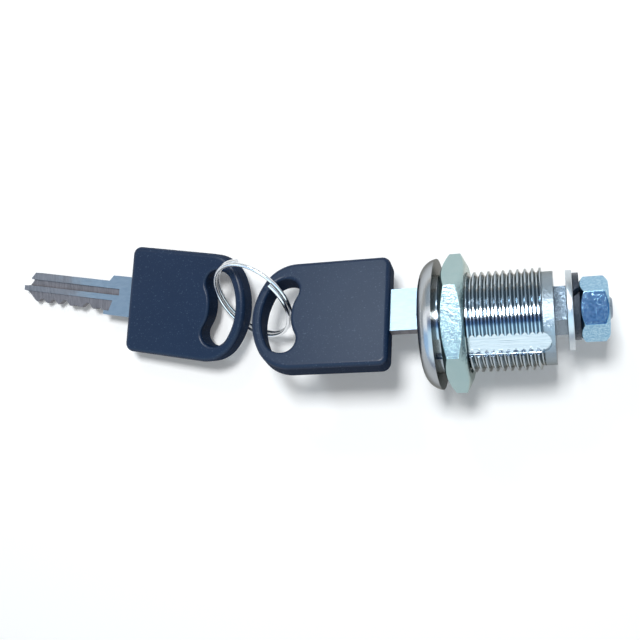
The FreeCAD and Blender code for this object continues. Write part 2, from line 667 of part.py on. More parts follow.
# Flat washer against the end of the square tail, and the split spring washer behind it
def washers():
    tail_end = "sizes.barrel_length + sizes.plug_end_stand + sizes.tail_length"
    start = tail_end + " + sizes.stack_gap"
    disc = bar("washer_disc", "sizes.washer_radius", start, "sizes.washer_thickness")
    hole = bar("washer_hole", "sizes.washer_bore", start, "sizes.washer_thickness")
    node(on_plug(boolean("Part::Cut", "flat_washer", disc, hole)), "flat_washer")
    start = start + " + sizes.washer_thickness + sizes.stack_gap"
    disc = bar("split_disc", "sizes.spring_washer_radius", start, "sizes.spring_washer_thickness")
    hole = bar("split_hole", "sizes.spring_washer_bore", start, "sizes.spring_washer_thickness")
    ring = boolean("Part::Cut", "split_ring_blank", disc, hole)
    gap = block("split_gap", ("3 * sizes.spring_washer_thickness", "sizes.spring_washer_split",
                              "2 * sizes.spring_washer_radius"),
                ("0 - 1.5 * sizes.spring_washer_thickness", "0 - sizes.spring_washer_split / 2", "0"))
    slanted = joined("split_slanted", [gap, bar("split_core", "sizes.stud_radius", "0", "1")])
    slanted.Placement = FreeCAD.Placement(
        V(number(start + " + sizes.spring_washer_thickness / 2"), 0, 0),
        FreeCAD.Rotation(V(0, 0, 1), number("sizes.spring_washer_slant")))
    cut = boolean("Part::Cut", "spring_washer", ring, slanted)
    on_plug(cut)
    cut.setExpression("Placement.Base.y", "sizes.plug_offset + sizes.spring_washer_shift")
    return node(cut, "spring_washer")


# Key blade: steel blank with its tang, cuts, side groove and milled step
def key_blade(label):
    body = doc.addObject("PartDesign::Body", label)
    outline = sketch_in(body, label + "_outline", "XY_Plane")
    corners = [
        ("0 - sizes.tang_length", "sizes.shank_bottom"),
        ("0 - sizes.tang_length", "sizes.shank_top"),
        ("sizes.shank_top_length", "sizes.shank_top"),
        ("sizes.shank_top_length + sizes.shank_slope", "sizes.blade_top"),
    ]
    corners += [("sizes.tip_length - " + back, height) for back, height in TIP]
    half = "sizes.cut_floor / 2"
    for index in reversed(range(int(number("sizes.wafer_count")))):
        depth = "sizes.cut_%d_depth" % (index % 6 + 1)
        place = "sizes.first_cut + %d * sizes.cut_pitch" % index
        corners += [
            ("%s + %s + %s" % (place, half, depth), "sizes.blade_bottom"),
            ("%s + %s" % (place, half), "sizes.blade_bottom + %s" % depth),
            ("%s - %s" % (place, half), "sizes.blade_bottom + %s" % depth),
            ("%s - %s - %s" % (place, half, depth), "sizes.blade_bottom"),
        ]
    corners += [
        ("sizes.shank_bottom_length", "sizes.blade_bottom"),
        ("sizes.shank_bottom_length", "sizes.shank_bottom"),
    ]
    polygon(outline, corners)
    grown(body, label + "_blank", outline, "sizes.blade_thickness", both_ways=True)
    end = "sizes.tip_length + 1"
    groove = sketch_in(body, label + "_groove", "XY_Plane", "0 - sizes.blade_thickness / 2")
    polygon(groove, [
        ("sizes.key_groove_start", "sizes.key_groove_low"),
        (end, "sizes.key_groove_low"),
        (end, "sizes.key_groove_high"),
        ("sizes.key_groove_start", "sizes.key_groove_high"),
    ])
    pocketed(body, label + "_side_groove", groove, "sizes.key_groove_depth", backward=True)
    for side, sign in (("near", "0 + "), ("far", "0 - ")):
        step = sketch_in(body, "%s_step_%s" % (label, side), "XY_Plane", sign + "sizes.blade_thickness / 2")
        polygon(step, [
            ("sizes.key_step_start", "sizes.key_step_level"),
            ("sizes.key_step_start + sizes.key_step_run", "sizes.blade_bottom"),
            ("sizes.shank_bottom_length + sizes.running_gap", "sizes.blade_bottom"),
            ("sizes.shank_bottom_length + sizes.running_gap", "sizes.blade_bottom - 1"),
            (end, "sizes.blade_bottom - 1"),
            (end, "sizes.key_step_level"),
        ])
        pocketed(body, "%s_milled_%s" % (label, side), step, "sizes.key_step_depth", backward=side == "far")
    return body


# Key head: moulded grip with rounded edges, a kidney-shaped eye and a pocket for the tang
def key_head(label):
    body = doc.addObject("PartDesign::Body", label)
    outline = sketch_in(body, label + "_outline", "XY_Plane")
    middle = number("sizes.head_centre")
    half = number("sizes.head_width / 2")
    corner = number("sizes.head_corner")
    side_round = number("sizes.head_side_round")
    end_round = number("sizes.head_end_round")
    end_centre = end_round - number("sizes.head_length")
    drop = half - side_round
    side_centre = end_centre - math.sqrt((end_round - side_round) ** 2 - drop ** 2)
    turn = math.atan2(drop, side_centre - end_centre)
    quarter = math.pi / 2
    top = middle + half
    bottom = middle - half
    outline.addGeometry(arc((-corner, top - corner), corner, 0, quarter))
    outline.addGeometry(Part.LineSegment(V(-corner, top, 0), V(side_centre, top, 0)))
    outline.addGeometry(arc((side_centre, middle + drop), side_round, quarter, turn))
    outline.addGeometry(arc((end_centre, middle), end_round, turn, 2 * math.pi - turn))
    outline.addGeometry(arc((side_centre, middle - drop), side_round, -turn, -quarter))
    outline.addGeometry(Part.LineSegment(V(side_centre, bottom, 0), V(-corner, bottom, 0)))
    outline.addGeometry(arc((-corner, bottom + corner), corner, -quarter, 0))
    outline.addGeometry(Part.LineSegment(V(0, bottom + corner, 0), V(0, top - corner, 0)))
    grip = grown(body, label + "_block", outline, "sizes.head_thickness", both_ways=True)
    doc.recompute()
    face_level = number("sizes.head_thickness / 2")
    rims = body.newObject("PartDesign::Fillet", label + "_soft_edges")
    rims.Base = (grip, edges_at(grip, face_level))
    rims.setExpression("Radius", "sizes.head_edge_round")
    doc.recompute()

    # Eye: outer side along the head's end, inner side with two lobes and a bump between them
    eye = sketch_in(body, label + "_eye", "XY_Plane")
    rim = number("sizes.eye_rim")
    eye_corner = number("sizes.eye_corner")
    eye_drop = number("sizes.eye_half_height") - eye_corner
    outer = end_round - rim
    corner_centre = end_centre - math.sqrt((outer - eye_corner) ** 2 - eye_drop ** 2)
    eye_turn = math.atan2(eye_drop, corner_centre - end_centre)
    lobe = number("sizes.eye_lobe_round")
    lobe_place = number("sizes.eye_half_height") - lobe
    lobe_centre = number("sizes.eye_lobe_depth - sizes.head_length") - lobe
    bump_tip = number("sizes.eye_bump_depth - sizes.head_length")
    lean = lobe_centre - bump_tip
    bump = (lobe ** 2 - lean ** 2 - lobe_place ** 2) / (2 * (-lean - lobe))
    bump_centre = bump_tip + bump
    meet = math.atan2(-lobe_place, bump_centre - lobe_centre)
    eye_side = eye_drop + eye_corner
    outer_sides = [arc((end_centre, middle), outer, eye_turn, 2 * math.pi - eye_turn)]
    for sign in (1, -1):
        corner_ends = sorted((sign * quarter, sign * eye_turn))
        lobe_ends = sorted((sign * quarter, sign * meet))
        outer_sides.append(arc((corner_centre, middle + sign * eye_drop), eye_corner, *corner_ends))
        outer_sides.append(arc((lobe_centre, middle + sign * lobe_place), lobe, *lobe_ends))
        start = V(corner_centre, middle + sign * eye_side, 0)
        end = V(lobe_centre, middle + sign * eye_side, 0)
        if (end - start).Length > 1e-6:
            outer_sides.append(Part.LineSegment(start, end))
    swing = math.pi + meet
    outer_sides.append(arc((bump_centre, middle), bump, swing, 2 * math.pi - swing))
    for side in outer_sides:
        eye.addGeometry(side)
    through = pocketed(body, label + "_eye_cut", eye, "2 * sizes.head_thickness", both_ways=True)
    inner = body.newObject("PartDesign::Fillet", label + "_eye_edges")
    reach = eye_side + rim / 2
    around_eye = FreeCAD.BoundBox(-number("sizes.head_length") + rim / 2, middle - reach, -face_level - 1,
                                  bump_tip + lobe, middle + reach, face_level + 1)
    inner.Base = (through, [name for name in edges_at(through, face_level)
                            if around_eye.isInside(through.Shape.getElement(name).BoundBox)])
    inner.setExpression("Radius", "sizes.eye_edge_round")
    doc.recompute()

    # Pocket that the tang fills
    tang = sketch_in(body, label + "_tang", "YZ_Plane")
    gap = "sizes.stack_gap"
    thick = "(sizes.blade_thickness / 2 + %s)" % gap
    low = "sizes.shank_bottom - " + gap
    high = "sizes.shank_top + " + gap
    polygon(tang, [(low, "0 - " + thick), (high, "0 - " + thick), (high, thick), (low, thick)])
    pocketed(body, label + "_tang_pocket", tang, "sizes.tang_length + " + gap)
    return body


def edges_at(feature, level):
    """Names of the edges that lie wholly at +level or -level along Z."""
    found = []
    for index, edge in enumerate(feature.Shape.Edges, start=1):
        box = edge.BoundBox
        if abs(abs(box.Center.z) - level) < 1e-4 and box.ZLength < 1e-4:
            found.append("Edge%d" % index)
    return found


# First key in the plug, second key hanging on the ring
def keys():
    pulled_out = FreeCAD.Placement(V(-number("sizes.key_reach"), 0, 0), FreeCAD.Rotation())
    first = plug_place().multiply(pulled_out)
    spot = V(number("sizes.ring_x + sizes.second_end_x"), number("sizes.ring_y + sizes.second_end_y"),
             number("sizes.ring_z + sizes.second_end_z"))
    spot = spot + SECOND_KEY_X * number("sizes.head_length")
    facing = SECOND_KEY_X.cross(SECOND_KEY_Y)
    second = FreeCAD.Placement(spot, FreeCAD.Rotation(SECOND_KEY_X, SECOND_KEY_Y, facing, "XYZ"))
    for index, place in enumerate((first, second), start=1):
        for make, kind in ((key_blade, "blade"), (key_head, "head")):
            label = "key_%d_%s" % (index, kind)
            piece = make(label)
            piece.Placement = place
            node(piece, label)


# Split ring: two turns of round wire through both eyes
def key_ring():
    wire = number("sizes.ring_wire")
    step = number("sizes.ring_turn_step")
    sweep = number("sizes.ring_sweep")
    piece = doc.addObject("Part::Feature", "key_ring")
    piece.Shape = coil("key_ring", wire, number("sizes.ring_radius"), step, number("sizes.ring_start"),
                       sweep, 4)
    facing = RING_X.cross(RING_Y)
    spot = V(number("sizes.ring_x"), number("sizes.ring_y"), number("sizes.ring_z"))
    spot = spot - facing * (step * sweep / 360 / 2)
    piece.Placement = FreeCAD.Placement(spot, FreeCAD.Rotation(RING_X, RING_Y, facing, "XYZ"))
    return node(piece, "key_ring")


housing()
nut("mounting_nut", "sizes.nut_flats", "sizes.nut_thickness", "sizes.nut_gap",
    "sizes.thread_radius + sizes.running_gap", "sizes.nut_face_radius", "sizes.nut_chamfer")
plug()
for number_in_row in range(int(number("sizes.wafer_count"))):
    wafer(number_in_row)
    spot_in_row = number("sizes.first_cut - sizes.key_reach + %d * sizes.cut_pitch" % number_in_row)
    spring("wafer_spring_%d" % (number_in_row + 1), spot_in_row, number("sizes.spring_ledge"),
           number("sizes.wafer_tab_level"), number("(sizes.wafer_neck + sizes.wafer_half_width) / 2"))
retainer()
spring("retainer_spring", number("sizes.retainer_place"),
       number("sizes.retainer_height - sizes.retainer_reach"), number("sizes.retainer_pocket_floor"), 0)
washers()
tail_nut = nut("tail_nut", "sizes.tail_nut_flats", "sizes.tail_nut_thickness",
               "sizes.barrel_length + sizes.plug_end_stand + sizes.tail_length + sizes.washer_thickness"
               " + sizes.spring_washer_thickness + 3 * sizes.stack_gap",
               "sizes.stud_radius + sizes.running_gap", "sizes.tail_nut_face_radius",
               "sizes.tail_nut_chamfer")
tail_nut.setExpression("Placement.Base.y", "sizes.plug_offset")
keys()
key_ring()

doc.recompute()
for item in doc.Objects:
    if "Invalid" in item.State or "Error" in item.State:
        raise ValueError("%s failed: %s" % (item.Name, item.State))
for piece in nodes:
    if piece.Shape.isNull() or not piece.Shape.isValid():
        raise ValueError("%s has a bad shape" % piece.Label)
    if len(piece.Shape.Solids) != 1:
        raise ValueError("%s has %d solids" % (piece.Label, len(piece.Shape.Solids)))

os.makedirs("parts", exist_ok=True)
for piece in nodes:
    piece.Shape.exportStep("parts/%s.step" % piece.Label)
print("%d pieces written" % len(nodes))
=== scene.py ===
import json
import math

import bmesh
import bpy
from mathutils import Matrix, Vector

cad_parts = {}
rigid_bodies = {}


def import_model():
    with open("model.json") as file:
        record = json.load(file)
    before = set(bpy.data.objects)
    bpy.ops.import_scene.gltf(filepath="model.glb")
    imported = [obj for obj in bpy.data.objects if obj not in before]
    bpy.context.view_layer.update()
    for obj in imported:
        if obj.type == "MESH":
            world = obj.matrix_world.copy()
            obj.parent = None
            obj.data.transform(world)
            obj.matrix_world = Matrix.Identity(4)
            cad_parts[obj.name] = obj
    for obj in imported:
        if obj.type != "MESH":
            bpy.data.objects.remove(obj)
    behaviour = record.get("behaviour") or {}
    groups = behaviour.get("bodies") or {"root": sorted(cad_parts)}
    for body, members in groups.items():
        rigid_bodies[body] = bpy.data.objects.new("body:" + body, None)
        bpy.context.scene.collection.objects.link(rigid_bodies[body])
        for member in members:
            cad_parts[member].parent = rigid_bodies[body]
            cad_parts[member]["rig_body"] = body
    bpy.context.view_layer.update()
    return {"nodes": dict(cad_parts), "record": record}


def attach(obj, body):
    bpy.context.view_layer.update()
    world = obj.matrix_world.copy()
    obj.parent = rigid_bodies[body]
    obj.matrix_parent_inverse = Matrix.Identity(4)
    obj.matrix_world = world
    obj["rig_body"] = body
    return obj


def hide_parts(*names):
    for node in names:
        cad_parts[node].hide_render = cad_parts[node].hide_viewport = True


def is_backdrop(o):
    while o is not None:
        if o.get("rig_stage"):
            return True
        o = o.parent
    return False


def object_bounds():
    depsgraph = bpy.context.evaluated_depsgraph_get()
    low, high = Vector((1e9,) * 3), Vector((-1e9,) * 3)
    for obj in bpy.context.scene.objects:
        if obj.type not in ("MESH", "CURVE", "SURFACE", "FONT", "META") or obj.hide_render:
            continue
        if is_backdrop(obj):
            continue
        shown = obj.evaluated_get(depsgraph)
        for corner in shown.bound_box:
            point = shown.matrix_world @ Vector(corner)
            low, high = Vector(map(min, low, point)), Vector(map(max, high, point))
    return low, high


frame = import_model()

# Housing: a die-cast zinc barrel with a domed flange, turned and threaded, then bright plated. The flange
# is satin, the thread is bright, and the collar behind the thread keeps the grain of the casting. The
# long groove that keeps the lock from turning in its panel is milled last and left with its tool lines.
mm = 0.001
scene = bpy.context.scene
slot_of = {part["node"]: part["material_slot"] for part in frame["record"]["subparts"]}
thread_gives_way = (18.15, 18.45)
collar_edges_from = 18.4
groove_floor_radius = (7.98, 8.08)
panel_seat = 0.01


class Amount:
    """A number or colour that varies over a surface, as the socket that carries it."""

    def __init__(self, nodes, socket):
        self.nodes = nodes
        self.socket = socket

    def maths(self, operation, *values):
        return self.nodes.add("ShaderNodeMath", {"operation": operation}, dict(enumerate(values)))

    def __add__(self, other):
        return self.maths("ADD", self, other)

    __radd__ = __add__

    def __sub__(self, other):
        return self.maths("SUBTRACT", self, other)

    def __rsub__(self, other):
        return self.maths("SUBTRACT", other, self)

    def __mul__(self, other):
        return self.maths("MULTIPLY", self, other)

    __rmul__ = __mul__

    def __truediv__(self, other):
        return self.maths("DIVIDE", self, other)

    def __rtruediv__(self, other):
        return self.maths("DIVIDE", other, self)

    def __abs__(self):
        return self.maths("ABSOLUTE", self)

    def root(self):
        return self.maths("SQRT", self)

    def larger(self, other):
        return self.maths("MAXIMUM", self, other)


class Nodes:
    """A node tree, and the one method that adds a node to it."""

    def __init__(self, tree):
        self.tree = tree

    def add(self, kind, settings=None, sockets=None, output=0):
        """One node: its settings first, then the values or links of its sockets."""
        node = self.tree.nodes.new(kind)
        for key, value in (settings or {}).items():
            if key == "stops":
                while len(node.color_ramp.elements) < len(value):
                    node.color_ramp.elements.new(0.5)
                for element, (place, colour) in zip(node.color_ramp.elements, value):
                    element.position = place
                    element.color = (*colour, 1.0)
            else:
                setattr(node, key, value)
        for key, value in (sockets or {}).items():
            self.feed(node.inputs[key], value)
        return Amount(self, node.outputs[output])

    def feed(self, socket, value):
        if isinstance(value, Amount):
            self.tree.links.new(value.socket, socket)
        elif hasattr(value, "__len__") and len(value) == 3 and socket.type == "RGBA":
            socket.default_value = (*value, 1.0)
        else:
            socket.default_value = value

    def between(self, value, low, high):
        """0 below the one value, 1 above the other, and smooth from one to the other."""
        sockets = {"Value": value, "From Min": low, "From Max": high}
        return self.add("ShaderNodeMapRange", {"interpolation_type": "SMOOTHSTEP"}, sockets)

    def mix(self, factor, first, second):
        """One colour or the other, by the factor."""
        sockets = {0: factor, 6: first, 7: second}
        return self.add("ShaderNodeMix", {"data_type": "RGBA"}, sockets, output=2)

    def part_of(self, vector, axis):
        return self.add("ShaderNodeSeparateXYZ", None, {"Vector": vector}, output=axis)


class Finish(Nodes):
    """A material in the making: its Principled shader and the point on the piece in millimetres."""

    def __init__(self, name, **constants):
        self.material = bpy.data.materials.new(name)
        self.material.use_nodes = True
        super().__init__(self.material.node_tree)
        self.shader = self.tree.nodes["Principled BSDF"]
        self.finished(**constants)
        spot = self.add("ShaderNodeTexCoord", output="Object")
        scaled = {"Vector": spot, "Scale": 1 / mm}
        self.spot = self.add("ShaderNodeVectorMath", {"operation": "SCALE"}, scaled)

    def along(self, axis):
        """The distance along one axis, in millimetres."""
        return self.part_of(self.spot, axis)

    def noise(self, size, detail, rough, stretch=(1, 1, 1)):
        """Cloudy noise with features about the given size, 0 to 1."""
        place = self.add("ShaderNodeMapping", None, {"Vector": self.spot, "Scale": stretch})
        sockets = {"Vector": place, "Scale": 1 / size, "Detail": detail, "Roughness": rough}
        return self.add("ShaderNodeTexNoise", None, sockets, output="Fac")

    def relief(self, height, depth):
        """A bump of the given depth in millimetres."""
        sockets = {"Height": height, "Distance": depth * mm, "Strength": 1.0}
        return self.add("ShaderNodeBump", None, sockets, output="Normal")

    def finished(self, **inputs):
        """Feeds the Principled shader and gives the material."""
        for socket, value in inputs.items():
            self.feed(self.shader.inputs[socket.replace("_", " ")], value)
        return self.material


def settled_mesh(piece):
    """The mesh that the piece's modifiers make."""
    bpy.context.view_layer.update()
    return bpy.data.meshes.new_from_object(piece.evaluated_get(bpy.context.evaluated_depsgraph_get()))


def broken_edges(node, name, width, material, seam=30.0, where=lambda point: True):
    """A merged copy of a solid that stands for it: smooth where it curves, its edges rounded where asked.

    The width is in millimetres, and the seam is the least angle, in degrees, that makes an edge."""
    same_point = 1e-7
    same_plane = math.radians(0.3)
    shape = bmesh.new()
    shape.from_mesh(frame["nodes"][node].data)
    bmesh.ops.remove_doubles(shape, verts=shape.verts, dist=same_point)
    bmesh.ops.dissolve_limit(shape, angle_limit=same_plane, verts=shape.verts, edges=shape.edges)
    weight = shape.edges.layers.float.new("bevel_weight_edge")
    for edge in shape.edges:
        if edge.calc_face_angle(0.0) > math.radians(seam):
            if width and all(where(corner.co / mm) for corner in edge.verts):
                edge[weight] = 1.0
            else:
                edge.smooth = False
    for face in shape.faces:
        face.smooth = True
    mesh = bpy.data.meshes.new(name)
    shape.to_mesh(mesh)
    shape.free()
    piece = bpy.data.objects.new(name, mesh)
    scene.collection.objects.link(piece)
    mesh.materials.clear()
    mesh.materials.append(material)
    rounding = piece.modifiers.new("rounding", "BEVEL")
    rounding.width = width * mm
    rounding.segments = 2
    rounding.limit_method = "WEIGHT"
    level = piece.modifiers.new("level_faces", "WEIGHTED_NORMAL")
    level.keep_sharp = True
    piece.data = settled_mesh(piece)
    piece.modifiers.clear()
    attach(piece, frame["nodes"][node]["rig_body"])
    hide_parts(node)
    return piece


def flange_finish():
    finish = Finish("zinc_flange", Metallic=1.0, Specular_Tint=(0.30, 0.28, 0.25))
    cloud = finish.noise(4.0, 2.0, 0.5)
    turning = finish.noise(0.25, 2.0, 0.5, stretch=(1, 0.02, 0.02))
    tone = finish.mix(cloud, (0.38, 0.40, 0.42), (0.45, 0.47, 0.49))
    rough = 0.20 + cloud * 0.08
    return finish.finished(Base_Color=tone, Roughness=rough, Normal=finish.relief(turning, 0.012))


def barrel_finish():
    finish = Finish("zinc_casting", Metallic=1.0, Specular_Tint=(0.58, 0.54, 0.48))
    x, y, z = (finish.along(axis) for axis in "XYZ")
    floor = 1 - finish.between((y * y + z * z).root(), *groove_floor_radius)
    cast = finish.between(x, *thread_gives_way) * (1 - floor)
    grain = finish.noise(0.42, 3.0, 0.6)
    cloud = finish.noise(3.0, 3.0, 0.6)
    milling = finish.noise(0.3, 3.0, 0.6, stretch=(0.05, 1, 1))
    tone = finish.mix(cloud, (0.37, 0.43, 0.48), (0.43, 0.49, 0.54))
    tone = finish.mix(cast, tone, (0.28, 0.33, 0.37))
    tone = finish.mix(floor * milling, tone, (0.58, 0.62, 0.64))
    rough = 0.11 + cloud * 0.06 + cast * 0.16
    height = grain * cast * 0.5 + milling * floor * 0.12
    return finish.finished(Base_Color=tone, Roughness=rough, Normal=finish.relief(height, 0.32))


flange_metal = flange_finish()
barrel_metal = barrel_finish()
housing = broken_edges("housing", "barrel_and_flange", 0.1, barrel_metal, seam=28.0,
                       where=lambda point: point.x > collar_edges_from)
housing.data.materials.append(flange_metal)
for face in housing.data.polygons:
    face.material_index = int(face.center.x < panel_seat * mm)


# Mounting nut: a hexagon of zinc-plated steel that clamps the panel against the flange. Its flats are
# drawn smooth and its corners are chamfered on both faces.
def nut_finish():
    finish = Finish("zinc_nut", Metallic=0.95, Specular_Tint=(0.8, 0.78, 0.7))
    cloud = finish.noise(3.0, 3.0, 0.6)
    grain = finish.noise(0.5, 4.0, 0.65)
    tone = finish.mix(cloud, (0.27, 0.40, 0.42), (0.36, 0.47, 0.48))
    rough = 0.17 + grain * 0.07
    return finish.finished(Base_Color=tone, Roughness=rough, Normal=finish.relief(grain, 0.06))


broken_edges("mounting_nut", "panel_nut", 0.22, nut_finish(), seam=20.0)


# Plug: the turning core, cast in zinc, with a square tail for the cam and a stud that the washers and
# the tail nut hide but for its chamfered end. The tail's faces are darker and keep a coarse grain.
tail_starts = (20.2, 20.4)


def plug_finish():
    finish = Finish("plug_metal", Metallic=1.0)
    tail = finish.between(finish.along("X"), *tail_starts)
    grain = finish.noise(0.4, 3.0, 0.6)
    cloud = finish.noise(1.5, 2.0, 0.5)
    tone = finish.mix(cloud, (0.32, 0.38, 0.43), (0.42, 0.48, 0.53))
    tone = finish.mix(tail, tone, (0.20, 0.25, 0.30))
    rough = 0.18 + cloud * 0.1
    return finish.finished(Base_Color=tone, Roughness=rough, Normal=finish.relief(grain * tail, 0.10))


broken_edges("plug", "plug_and_tail", 0.08, plug_finish(), seam=32.0)


# Washers: a flat washer of zinc-plated steel and a split spring washer of blackened steel, both on
# the stud between the square tail and the tail nut.
def washer_finish():
    finish = Finish("zinc_washer", Metallic=1.0)
    cloud = finish.noise(1.6, 3.0, 0.6)
    grain = finish.noise(0.3, 3.0, 0.6)
    tone = finish.mix(cloud, (0.44, 0.48, 0.51), (0.55, 0.59, 0.61))
    rough = 0.24 + grain * 0.14
    return finish.finished(Base_Color=tone, Roughness=rough, Normal=finish.relief(grain, 0.03))


def black_finish():
    finish = Finish("black_steel", Metallic=0.3)
    grain = finish.noise(0.5, 4.0, 0.7)
    tone = finish.mix(grain, (0.004, 0.006, 0.010), (0.03, 0.045, 0.07))
    rough = 0.22 + grain * 0.2
    return finish.finished(Base_Color=tone, Roughness=rough, Normal=finish.relief(grain, 0.2))


broken_edges("flat_washer", "tail_washer", 0.15, washer_finish())
broken_edges("spring_washer", "split_washer", 0.1, black_finish())


# Tail nut: a small hexagon nut of steel with a blue zinc plate, whose crystals show as fine lighter and
# darker spangles.
def tail_nut_finish():
    finish = Finish("blue_zinc", Metallic=1.0, Specular_Tint=(0.85, 0.9, 0.95))
    grain = finish.noise(0.42, 3.0, 0.6)
    cloud = finish.noise(1.2, 3.0, 0.6)
    spangle = finish.between(finish.noise(0.3, 2.0, 0.6), 0.35, 0.65)
    tone = finish.mix(spangle, (0.17, 0.34, 0.50), (0.38, 0.56, 0.66))
    rough = 0.10 + cloud * 0.05
    return finish.finished(Base_Color=tone, Roughness=rough, Normal=finish.relief(grain, 0.03))


broken_edges("tail_nut", "cam_nut", 0.14, tail_nut_finish(), seam=20.0)


# Keys: nickel-plated blades with their cuts and grooves milled afterwards. The milled faces are painted
# darker:
# partly the browner bare metal underneath, partly painted shade in the grooves and cuts; the tip, where
# use has worn the plating, shows the same bare metal. The heads are moulded on in blue-black plastic with
# a fine grain and a few paler flecks, and their coat is a painted sheen, strong on the front faces and
# weak on walls and backs.
plug_roll = math.radians(23.0)
first_key_origin = Vector((-9.22, 1.18, 0.0))
first_key_axes = (Vector((1, 0, 0)), Vector((0, math.cos(plug_roll), -math.sin(plug_roll))))
second_key_origin = Vector((-66.344, 7.804, -8.558))
second_key_axes = (Vector((-0.9817, 0.1683, -0.0895)), Vector((0.1651, 0.9854, 0.0424)))
blade_side = (0.93, 0.99)
shank_edge = (4.6, 4.7)
wear_starts = (14, 27)


def blade_finish(name, origin, key_axes):
    finish = Finish(name, Metallic=1.0)

    def from_origin(axis):
        settings = {"operation": "DOT_PRODUCT"}
        sockets = {0: finish.spot, 1: axis}
        return finish.add("ShaderNodeVectorMath", settings, sockets, output="Value") - origin.dot(axis)

    reach = from_origin(key_axes[0])
    up = from_origin(key_axes[1])
    across = from_origin(key_axes[0].cross(key_axes[1]))
    cloud = finish.noise(2.5, 4.0, 0.65)
    grain = finish.noise(0.5, 3.0, 0.6, stretch=(0.3, 1, 1))
    chatter = finish.noise(0.35, 2.0, 0.5, stretch=(1, 0.15, 0.15))
    # Milled faces (recessed groove floors and cut faces) and the worn tip get the dark bare colour:
    # partly browner bare metal, partly painted shade in the recesses.
    milled = (1 - finish.between(abs(across), *blade_side)) * (1 - finish.between(up, *shank_edge))
    worn = finish.between(reach + cloud * 14, *wear_starts) * 0.85
    bare_and_recess_shade = milled.larger(worn)
    plated = finish.mix(grain, (0.20, 0.27, 0.33), (0.30, 0.37, 0.43))
    bare_metal_and_painted_shade = finish.mix(chatter, (0.08, 0.08, 0.085), (0.25, 0.23, 0.245))
    tone = finish.mix(bare_and_recess_shade, plated, bare_metal_and_painted_shade)
    rough = 0.30 + bare_and_recess_shade * 0.22 + grain * 0.08
    height = grain * 0.4 + chatter * milled * 0.6
    return finish.finished(Base_Color=tone, Roughness=rough, Normal=finish.relief(height, 0.05))


def head_finish():
    finish = Finish("key_plastic", Specular_IOR_Level=0.0, Coat_Roughness=0.36)
    # Painted sheen: the coat is strong on faces turned to the piece's +Z, the camera's side, and weak on
    # walls and backs. It stands in for the darker reflections there and is not a property of the plastic.
    normal = finish.add("ShaderNodeTexCoord", output="Normal")
    face = finish.between(finish.part_of(normal, "Z"), 0.35, 0.7)
    grain = finish.noise(0.22, 3.0, 0.6)
    fleck = finish.between(finish.noise(0.3, 2.0, 0.5), 0.62, 0.72)
    cloud = finish.noise(6.0, 2.0, 0.5)
    tone = finish.mix(cloud, (0.003, 0.013, 0.038), (0.005, 0.017, 0.046))
    tone = finish.mix(fleck * 0.3, tone, (0.10, 0.15, 0.22))
    painted_front_sheen = 0.12 + face * 0.5
    normal = finish.relief(grain, 0.04)
    return finish.finished(Base_Color=tone, Coat_Weight=painted_front_sheen, Roughness=0.6, Normal=normal)


first_blade_metal = blade_finish("key_steel_first", first_key_origin, first_key_axes)
second_blade_metal = blade_finish("key_steel_second", second_key_origin, second_key_axes)
key_plastic = head_finish()
broken_edges("key_1_blade", "first_key_blade", 0.05, first_blade_metal)
broken_edges("key_2_blade", "second_key_blade", 0.05, second_blade_metal)
broken_edges("key_1_head", "first_key_head", 0.0, key_plastic, seam=40.0)
broken_edges("key_2_head", "second_key_head", 0.0, key_plastic, seam=40.0)


# Split ring: not quite two turns of bright nickel-plated spring wire, wound through both eyes, with its
# ends cut square. The wire is swept along a spiral of constant radius.
ring_centre = Vector((-37.665, 7.078, -3.707)) * mm
ring_axes = (Vector((0.93023, -0.25128, 0.26745)), Vector((0.0, 0.7288, 0.68473)))
ring_sizes = {
    "Turns": 662 / 360,
    "Radius": 8.84 * mm,
    "Lead": 1.0 * mm,
    "Wire": 0.8 * mm,
    "Start": math.radians(100),
}
steps_in_a_turn = 96
sides_of_the_wire = 20
cut_end = math.radians(40)


def ring_finish():
    finish = Finish("ring_steel", Metallic=1.0)
    cloud = finish.noise(2.0, 2.0, 0.5)
    tone = finish.mix(cloud, (0.66, 0.67, 0.68), (0.78, 0.79, 0.80))
    return finish.finished(Base_Color=tone, Roughness=0.14 + cloud * 0.1)


def winding(material):
    """The Geometry Nodes that sweep the wire, with the ring's sizes as their inputs."""
    tree = bpy.data.node_groups.new("wound_ring", "GeometryNodeTree")
    tree.interface.new_socket("Geometry", in_out="INPUT", socket_type="NodeSocketGeometry")
    for name in ring_sizes:
        tree.interface.new_socket(name, in_out="INPUT", socket_type="NodeSocketFloat")
    tree.interface.new_socket("Geometry", in_out="OUTPUT", socket_type="NodeSocketGeometry")
    nodes = Nodes(tree)
    group_in = tree.nodes.new("NodeGroupInput")
    group_out = tree.nodes.new("NodeGroupOutput")
    turns, radius, lead, wire, start = (Amount(nodes, group_in.outputs[name]) for name in ring_sizes)
    rise = turns * lead
    spiral = nodes.add("GeometryNodeCurveSpiral", None, {
        "Resolution": steps_in_a_turn, "Rotations": turns, "Start Radius": radius, "End Radius": radius,
        "Height": rise, "Reverse": True})
    centring = nodes.add("ShaderNodeCombineXYZ", None, {"Z": rise * -0.5})
    turn = nodes.add("ShaderNodeCombineXYZ", None, {"Z": start})
    path = nodes.add("GeometryNodeTransform", None, {
        "Geometry": spiral, "Translation": centring, "Rotation": turn})
    section = nodes.add("GeometryNodeCurvePrimitiveCircle", None, {
        "Resolution": sides_of_the_wire, "Radius": wire * 0.5})
    sweep = nodes.add("GeometryNodeCurveToMesh", None, {
        "Curve": path, "Profile Curve": section, "Fill Caps": True})
    real = nodes.add("GeometryNodeRealizeInstances", None, {"Geometry": sweep})
    coated = nodes.add("GeometryNodeSetMaterial", None, {"Geometry": real, "Material": material})
    nodes.feed(group_out.inputs["Geometry"], coated)
    return tree


